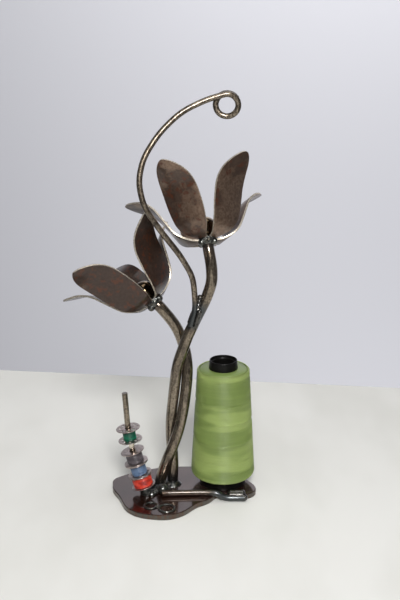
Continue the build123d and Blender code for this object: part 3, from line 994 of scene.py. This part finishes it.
@dataclass
class Welds:
    """All the weld metal: flower rings, feet, arm, post, rim and the two rings on the plate."""

    workshop: Workshop
    smooth_metal: Colour = tint(84, 81, 76)
    smooth_dark: Colour = tint(46, 44, 42)
    smooth_straw: Colour = tint(78, 66, 54)
    heat_spots: tuple[Place, ...] = ((0.0135, -0.0085, 0.0066), (0.0635, -0.0255, 0.0072))
    rod_end: Place = (0.0668, -0.0262, 0.0036)
    rod_end_size: float = 1.7 * MM
    rim_drop: Place = (0.0, -1.7 * MM, -1.1 * MM)
    rim_drop_size: float = 1.7 * MM
    crotch: tuple[Place, ...] = (
        (0.0288, -0.0100, 0.1776),
        (0.0282, -0.0103, 0.1744),
        (0.0276, -0.0108, 0.1710),
        (0.0270, -0.0114, 0.1676),
    )
    crotch_size: float = 1.9 * MM
    arm_foot: tuple[float, float] = (0.0244, 0.163)
    arm_foot_slope: float = 0.33
    bead_sink: Place = (1.6 * MM, -1.0 * MM, 0.0)
    bead_size: float = 1.6 * MM
    bead_spacing: float = 4.6 * MM
    voxel: float = 0.35 * MM
    lump: float = 0.45 * MM
    swells: Mapping[str, float] = field(
        default_factory=lambda: {
            "upper_flower_weld": 0.5 * MM,
            "lower_flower_weld": 0.5 * MM,
            "stem_foot_weld": 0.35 * MM,
            "guide_arm_weld": 0.65 * MM,
            "post_foot_weld": 0.35 * MM,
            "foot_rod_weld": 1.25 * MM,
            "plate_bead_rings": 0.15 * MM,
        }
    )

    def build(self) -> None:
        """Fill out the two welds that run smooth, then roughen and dress them all."""
        plain = WeldBead("weld_metal", heat_spots=self.heat_spots)
        smooth = WeldBead(
            "smooth_weld_metal",
            self.smooth_metal,
            self.smooth_dark,
            self.smooth_straw,
            heat_spots=self.heat_spots,
        )
        filled = {"foot_rod_weld": self.fill_rim, "guide_arm_weld": self.fill_crotch}
        for node, swell in self.swells.items():
            piece = self.workshop.copy_node(node, node + "_metal")
            if node in filled:
                filled[node](piece)
            self.workshop.roughen(piece, self.voxel, swell, self.lump)
            self.workshop.dress(piece, smooth if node in filled else plain)
            self.workshop.add_piece(piece, Body.STAND, "weld_steel", [node])

    def fill_rim(self, piece: bpy.types.Object) -> None:
        """Join the foot rod's beads, and let drops run down the rim and round the rod's end.

        Args:
            piece: The foot rod's weld.
        """
        for place in self.join_beads(piece):
            self.add_lump(piece, place + Vector(self.rim_drop), self.rim_drop_size)
        self.add_lump(piece, Vector(self.rod_end), self.rod_end_size)

    def fill_crotch(self, piece: bpy.types.Object) -> None:
        """Join the arm's beads, and fill the crotch between the arm and the stem with drops.

        Args:
            piece: The arm's weld.
        """
        self.sink_left_beads(piece)
        self.join_beads(piece)
        for place in self.crotch:
            self.add_lump(piece, Vector(place), self.crotch_size)

    def sink_left_beads(self, piece: bpy.types.Object) -> None:
        """Move the beads left of the arm's foot in under it.

        Args:
            piece: The arm's weld.
        """
        foot_x, foot_z = self.arm_foot
        for vertex in piece.data.vertices:
            if vertex.co.x < foot_x + (vertex.co.z - foot_z) * self.arm_foot_slope:
                vertex.co += Vector(self.bead_sink)

    def join_beads(self, piece: bpy.types.Object) -> list[Vector]:
        """Add a drop between each two neighbouring beads of a row, so that they run together.

        Args:
            piece: The weld.

        Returns:
            The middles of the beads and of the new drops.
        """
        centres = self.bead_centres(piece)
        drops = []
        for number, first in enumerate(centres):
            for second in centres[number + 1 :]:
                if (second - first).length < self.bead_spacing:
                    drops.append((first + second) / 2)
        for drop in drops:
            self.add_lump(piece, drop, self.bead_size)
        return centres + drops

    @staticmethod
    def bead_centres(piece: bpy.types.Object) -> list[Vector]:
        """Middles of a piece's separate beads.

        Args:
            piece: The piece.

        Returns:
            One place for each loose part of its mesh.
        """
        group = list(range(len(piece.data.vertices)))

        def root(number: int) -> int:
            """The vertex that stands for a vertex's bead.

            Args:
                number: The vertex.

            Returns:
                The number of the vertex that stands for the bead.
            """
            while group[number] != number:
                group[number] = group[group[number]]
                number = group[number]
            return number

        for edge in piece.data.edges:
            group[root(edge.vertices[0])] = root(edge.vertices[1])
        beads: dict[int, list[Vector]] = {}
        for vertex in piece.data.vertices:
            beads.setdefault(root(vertex.index), []).append(vertex.co)
        return [Vector(np.mean(places, axis=0)) for places in beads.values()]

    def add_lump(self, piece: bpy.types.Object, place: Vector, size: float) -> None:
        """Add a drop of metal to a weld before it is roughened.

        Args:
            piece: The weld.
            place: The drop's middle.
            size: Its radius, before the weld swells.
        """
        self.workshop.select(piece)
        bpy.ops.object.mode_set(mode="EDIT")
        bpy.ops.mesh.select_all(action="DESELECT")
        bpy.ops.mesh.primitive_ico_sphere_add(subdivisions=3, radius=size, location=place)
        bpy.ops.object.mode_set(mode="OBJECT")


@dataclass(frozen=True)
class Lay:
    """One lay of a winding: where it runs, how it tilts, how far out it lies, its finish.

    The shares are shares of the winding's height, and the tilt's turn is in degrees.
    """

    low_share: float
    high_share: float
    tilt: float
    turn: float
    lift: float = 0.0
    tone: int = 0


@dataclass
class Winding:
    """Thread wound round an axis, as real turns in lays that cross where they tilt."""

    workshop: Workshop
    name: str
    origin: Vector
    axis: Vector
    low: float
    high: float
    radius_at: Callable[[float], float]
    thickness: float
    pitch: float
    lays: Sequence[Lay]
    points_per_turn: int

    def places(self, lay: Lay) -> list[Vector]:
        """Route of one lay.

        Args:
            lay: The lay.

        Returns:
            Its places, in the rack's frame.
        """
        across = self.axis.orthogonal().normalized()
        side = self.axis.cross(across)
        span = self.high - self.low
        start = self.low + span * lay.low_share
        turns = max(1, round(span * (lay.high_share - lay.low_share) / self.pitch))
        places = []
        for step in range(turns * self.points_per_turn + 1):
            angle = 2 * pi * step / self.points_per_turn
            rise = start + self.pitch * step / self.points_per_turn
            rise += lay.tilt * sin(angle + radians(lay.turn))
            rise = min(max(rise, self.low), self.high)
            reach = self.radius_at(rise) + lay.lift
            outward = across * cos(angle) + side * sin(angle)
            places.append(self.origin + outward * reach + self.axis * rise)
        return places

    def build(self) -> bpy.types.Object:
        """Draw every lay as a round thread, and turn them into one mesh piece.

        Returns:
            The piece.
        """
        curve = bpy.data.curves.new(self.name, "CURVE")
        curve.dimensions = "3D"
        curve.bevel_depth = self.thickness / 2
        curve.bevel_resolution = 0
        for lay in self.lays:
            places = self.places(lay)
            spline = curve.splines.new("POLY")
            spline.material_index = lay.tone
            spline.points.add(len(places) - 1)
            for point, place in zip(spline.points, places):
                point.co = (*place, 1.0)
        piece = bpy.data.objects.new(self.name, curve)
        bpy.context.scene.collection.objects.link(piece)
        self.workshop.select(piece)
        bpy.ops.object.convert(target="MESH")
        piece = bpy.context.object
        bpy.ops.object.shade_smooth()
        return piece


@dataclass
class ThreadCone:
    """The cone of thread: a moulded core and its wound thread, with heights above the plate."""

    workshop: Workshop
    reach: float = 48.7 * MM
    back: float = 2.6 * MM
    plate: float = 5 * MM
    start: float = 8.0 * MM
    length: float = 98.0 * MM
    low_radius: float = 27.8 * MM
    high_radius: float = 22.4 * MM
    low_shoulder: float = 5.5 * MM
    high_shoulder: float = 2.2 * MM
    core_radius: float = 19.9 * MM
    core_taper_share: float = 0.072
    core_gap: float = 0.1 * MM
    core_top_radius: float = 12.25 * MM
    core_round: float = 0.35 * MM
    core_strips: int = 3
    thread: float = 0.44 * MM
    pitch_share: float = 1.02
    turn_points: int = 36
    inset_share: float = 1.5
    body_steps: int = 40
    spin_steps: int = 96
    merge_distance: float = 0.005 * MM
    smooth_angle: float = 50.0
    lay_size: float = 13 * MM
    light: Colour = tint(156, 173, 101)
    middle: Colour = tint(117, 136, 70)
    dark: Colour = tint(80, 99, 44)

    def radius_at(self, height: float) -> float:
        """Radius of the outer lays' middle, with the rounded shoulders.

        Args:
            height: Height above the plate.

        Returns:
            The radius.
        """
        share = (height - self.start) / self.length
        radius = self.low_radius + (self.high_radius - self.low_radius) * share
        above_low = height - self.start
        below_high = self.start + self.length - height
        for away, shoulder in ((above_low, self.low_shoulder), (below_high, self.high_shoulder)):
            if away < shoulder:
                drop = shoulder - max(away, 0.0)
                radius -= shoulder - (shoulder**2 - drop**2) ** 0.5
        return radius - self.thread / 2

    def body(self) -> bpy.types.Object:
        """Spin the closed body of thread under the outer lays.

        Returns:
            The piece.
        """
        steps = self.body_steps
        inset = self.inset_share * self.thread
        heights = [self.start + self.length * step / steps for step in range(steps + 1)]
        outline = [(self.radius_at(height) - inset, height) for height in heights]
        inner_low = self.core_radius - self.core_taper_share * self.start + self.core_gap
        top = (self.core_top_radius, self.start + self.length)
        outline = [(inner_low, self.start), *outline, top]
        mesh = bpy.data.meshes.new("olive_thread_body")
        places = [(self.reach + x, self.back, self.plate + z) for x, z in outline]
        edges = [(n, n + 1) for n in range(len(places) - 1)]
        mesh.from_pydata(places, edges, [])
        piece = bpy.data.objects.new("cone_thread_body", mesh)
        bpy.context.scene.collection.objects.link(piece)
        self.workshop.select(piece)
        bpy.ops.object.mode_set(mode="EDIT")
        bpy.ops.mesh.select_all(action="SELECT")
        centre = (self.reach, self.back, 0)
        bpy.ops.mesh.spin(steps=self.spin_steps, angle=2 * pi, center=centre, axis=(0, 0, 1))
        bpy.ops.mesh.select_all(action="SELECT")
        bpy.ops.mesh.remove_doubles(threshold=self.merge_distance)
        bpy.ops.mesh.normals_make_consistent(inside=False)
        bpy.ops.object.mode_set(mode="OBJECT")
        bpy.ops.object.shade_smooth_by_angle(angle=radians(self.smooth_angle))
        return piece

    def build(self) -> None:
        """Model the core, the body of thread and its crossing outer lays."""
        workshop = self.workshop
        # The pale finish paints sheen on the lighter lays; the deep finish paints shade on the
        # darker lays and on the body under them.
        sheen_thread = SpunThread("pale_olive_thread", self.light, self.middle, self.lay_size)
        shade_thread = SpunThread("deep_olive_thread", self.middle, self.dark, self.lay_size)
        core = workshop.copy_node("cone_core", "cone_core_plastic")
        workshop.soften(core, self.core_round, self.core_strips)
        workshop.dress(core, MouldedPlastic("black_plastic"))
        workshop.add_piece(core, Body.CONE, "core_plastic", ["cone_core"])
        body = self.body()
        workshop.dress(body, shade_thread)
        workshop.add_piece(body, Body.CONE, "cone_thread", ["cone_thread_pack"])
        # Each lay's tone picks its finish, 1 for the deep one: the lays alternate between painted
        # sheen and painted shade.
        lays = [
            Lay(0.0, 1.0, 0.0, 0, -self.thread, 1),
            Lay(0.0, 0.09, 0.0, 0),
            Lay(0.1, 0.19, 0.6 * MM, 150, 0.0, 1),
            Lay(0.205, 0.36, 1.3 * MM, 210),
            Lay(0.385, 0.52, 2.4 * MM, 20, 0.0, 1),
            Lay(0.545, 0.7, 1.6 * MM, 160),
            Lay(0.725, 0.79, 2.0 * MM, 240, 0.0, 1),
            Lay(0.805, 0.93, 1.2 * MM, 300),
            Lay(0.945, 1.0, 0.0, 0, 0.0, 1),
        ]
        winding = Winding(
            workshop,
            "cone_thread_winding",
            origin=Vector((self.reach, self.back, self.plate)),
            axis=Vector((0, 0, 1)),
            low=self.start,
            high=self.start + self.length,
            radius_at=self.radius_at,
            thickness=self.thread,
            pitch=self.thread * self.pitch_share,
            lays=lays,
            points_per_turn=self.turn_points,
        )
        piece = winding.build()
        workshop.dress(piece, sheen_thread, shade_thread)
        workshop.add_piece(piece, Body.CONE, "cone_thread", ["cone_thread_turns"])


@dataclass
class Bobbin:
    """One metal bobbin with its thread."""

    workshop: Workshop
    colour: str
    body: Body
    finish: SpunThread
    origin: Vector
    axis: Vector
    radius_share: float
    lays: Sequence[Lay]
    flange_radius: float = 10.15 * MM
    half_height: float = 4.95 * MM
    spool_round: float = 0.12 * MM
    pack_round: float = 0.2 * MM
    thread: float = 0.3 * MM
    thread_inset: float = 0.12 * MM
    pitch_share: float = 1.03
    turn_points: int = 24

    def build(self) -> None:
        """Dress the bobbin, and wind its thread on a plain body of thread."""
        workshop = self.workshop
        thread = self.colour + "_thread"
        spool_node = self.colour + "_bobbin_spool"
        spool = workshop.copy_node(spool_node, self.colour + "_bobbin_metal")
        workshop.soften(spool, self.spool_round)
        workshop.dress(spool, BobbinMetal("bobbin_plating"))
        workshop.add_piece(spool, self.body, "bobbin_metal", [spool_node])
        pack = workshop.copy_node(thread + "_pack", thread + "_body")
        workshop.soften(pack, self.pack_round)
        workshop.dress(pack, self.finish)
        workshop.add_piece(pack, self.body, thread, [thread + "_pack"])
        outer = self.flange_radius * self.radius_share
        edge = self.half_height - self.thread / 2
        winding = Winding(
            workshop,
            thread + "_winding",
            origin=self.origin,
            axis=self.axis.normalized(),
            low=-edge,
            high=edge,
            radius_at=lambda rise: outer - self.thread / 2 - self.thread_inset,
            thickness=self.thread,
            pitch=self.thread * self.pitch_share,
            lays=self.lays,
            points_per_turn=self.turn_points,
        )
        piece = winding.build()
        workshop.dress(piece, self.finish)
        workshop.add_piece(piece, self.body, thread, [thread + "_turns"])


@dataclass(frozen=True)
class Lamp:
    """One soft square lamp: where it hangs and faces, its side, power in watts and spread."""

    name: str
    place: Place
    aim: Place
    side: float
    power: float
    spread: float = 180.0

    def hang(self) -> None:
        """Add the lamp to the scene."""
        data = bpy.data.lights.new(self.name, "AREA")
        data.shape = "SQUARE"
        data.size = self.side
        data.energy = self.power
        data.spread = radians(self.spread)
        lamp = bpy.data.objects.new(self.name, data)
        lamp.location = self.place
        direction = Vector(self.aim) - Vector(self.place)
        lamp.rotation_euler = direction.to_track_quat("-Z", "Y").to_euler()
        bpy.context.scene.collection.objects.link(lamp)


@dataclass
class Studio:
    """Table, backdrop, lamps and camera."""

    rack_middle: ClassVar[Place] = (0.02, 0.0, 0.15)
    lamps: tuple[Lamp, ...] = (
        Lamp("key_lamp", (0.12, -1.5, 1.15), rack_middle, 0.45, 8.2, 90.0),
        Lamp("top_lamp", (0.1, -0.1, 1.7), rack_middle, 1.2, 8.0),
        Lamp("high_wall_lamp", (0.36, 0.55, 0.98), (0.34, 1.25, 0.78), 0.9, 9.8),
        Lamp("low_wall_lamp", (0.4, 0.55, -0.78), (0.4, 1.25, -0.53), 0.8, 4.2),
    )
    room_colour: Colour = tint(236, 238, 242)
    room_strength: float = 0.15
    left_edge: tuple[float, float] = (-0.1924, 0.2797)
    right_edge: tuple[float, float] = (0.2416, 0.2275)
    table_reach: float = 0.34
    table_front: float = -2.2
    wall_back: float = 1.25
    wall_half_width: float = 2.6
    wall_low: float = -0.9
    wall_high: float = 2.2
    camera_place: Place = (0.0289, -0.9118, 0.4686)
    camera_down: float = 18.0
    focal_pixels: float = 1155.0
    image_height: float = 600.0
    sensor: float = 36.0

    def sheet(self, name: str, corners: Sequence[Sequence[float]], finish: Finish) -> None:
        """Lay a flat stage sheet.

        Args:
            name: The sheet's name.
            corners: Its four corners.
            finish: Its finish.
        """
        mesh = bpy.data.meshes.new(name)
        mesh.from_pydata([tuple(corner) for corner in corners], [], [(0, 1, 2, 3)])
        sheet = bpy.data.objects.new(name, mesh)
        bpy.context.scene.collection.objects.link(sheet)
        sheet.data.materials.append(finish.material())

    def build(self) -> None:
        """Set the stage, the light and the camera."""
        (left_x, left_y), (right_x, right_y) = self.left_edge, self.right_edge
        slope = (right_y - left_y) / (right_x - left_x)
        reach, front = self.table_reach, self.table_front
        far_left = (-reach, left_y + slope * (-reach - left_x), 0)
        far_right = (reach, left_y + slope * (reach - left_x), 0)
        table = [(-reach, front, 0), (reach, front, 0), far_right, far_left]
        self.sheet("table", table, TableCloth("white_cloth"))
        half, back = self.wall_half_width, self.wall_back
        wall = [
            (-half, back, self.wall_low),
            (half, back, self.wall_low),
            (half, back, self.wall_high),
            (-half, back, self.wall_high),
        ]
        self.sheet("wall", wall, WallPaint("grey_wall"))
        for lamp in self.lamps:
            lamp.hang()
        self.set_world()
        self.set_camera()

    def set_world(self) -> None:
        """Dim even light from the rest of the room."""
        world = bpy.data.worlds.new("room")
        world.use_nodes = True
        sky = world.node_tree.nodes["Background"]
        sky.inputs["Color"].default_value = self.room_colour
        sky.inputs["Strength"].default_value = self.room_strength
        bpy.context.scene.world = world
        bpy.context.scene.view_settings.view_transform = "Standard"

    def set_camera(self) -> None:
        """Put the camera at the photograph's viewing angle."""
        data = bpy.data.cameras.new("camera")
        data.sensor_width = self.sensor
        data.lens = self.focal_pixels * self.sensor / self.image_height
        camera = bpy.data.objects.new("camera", data)
        camera.location = self.camera_place
        camera.rotation_euler = (radians(90 - self.camera_down), 0, 0)
        bpy.context.scene.collection.objects.link(camera)
        bpy.context.scene.camera = camera


def bobbins(workshop: Workshop, frame: Mapping[str, object]) -> list[Bobbin]:
    """The four bobbins, placed by the hinges that they turn on.

    Args:
        workshop: The shared modelling moves.

    Returns:
        The bobbins, from the lowest to the highest.
    """
    joints = {joint["child"]: joint for joint in frame["joints"]}
    neat = [Lay(0.0, 1.0, 0.0, 0)]
    crossed = [Lay(0.0, 1.0, 0.0, 0), Lay(0.25, 0.6, 1.5 * MM, 200, 0.12 * MM)]
    table = (
        (Body.RED, "red", tint(218, 68, 45), tint(156, 31, 21), 0.83, crossed),
        (Body.BLUE, "blue", tint(104, 127, 158), tint(49, 70, 104), 0.67, neat),
        (Body.GREY, "grey", tint(98, 90, 94), tint(66, 60, 64), 0.71, neat),
        (Body.GREEN, "green", tint(14, 124, 92), tint(2, 74, 54), 0.56, neat),
    )
    made = []
    for body, colour, light, dark, radius_share, lays in table:
        joint = joints[body.value]
        finish = SpunThread(colour + "_thread_finish", light, dark)
        origin, axis = Vector(joint["pos_m"]), Vector(joint["axis"])
        made.append(Bobbin(workshop, colour, body, finish, origin, axis, radius_share, lays))
    return made


# The lower flower's petals get darker mottle colours as painted shade, and more of the dark stain
# than the upper one's.
UPPER_STAINS = (0.48, 0.5, 0.4, 0.48, 0.5)
LOWER_STAINS = (0.32, 0.32, 0.3, 0.3, 0.3)
LOWER_SHADED_LIGHT = tint(108, 88, 75)
LOWER_SHADED_BASE = tint(76, 58, 48)


def main() -> None:
    """Load the frame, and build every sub-assembly in order."""
    logging.basicConfig(level=logging.INFO, format="%(message)s")
    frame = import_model()
    workshop = Workshop(frame)
    Studio().build()
    Plate(workshop).build()
    Stems(workshop).build()
    Flower(workshop, "upper", UPPER_STAINS).build()
    Flower(workshop, "lower", LOWER_STAINS, LOWER_SHADED_LIGHT, LOWER_SHADED_BASE).build()
    Welds(workshop).build()
    ThreadCone(workshop).build()
    for bobbin in bobbins(workshop, frame):
        bobbin.build()


if __name__ == "__main__":
    main()
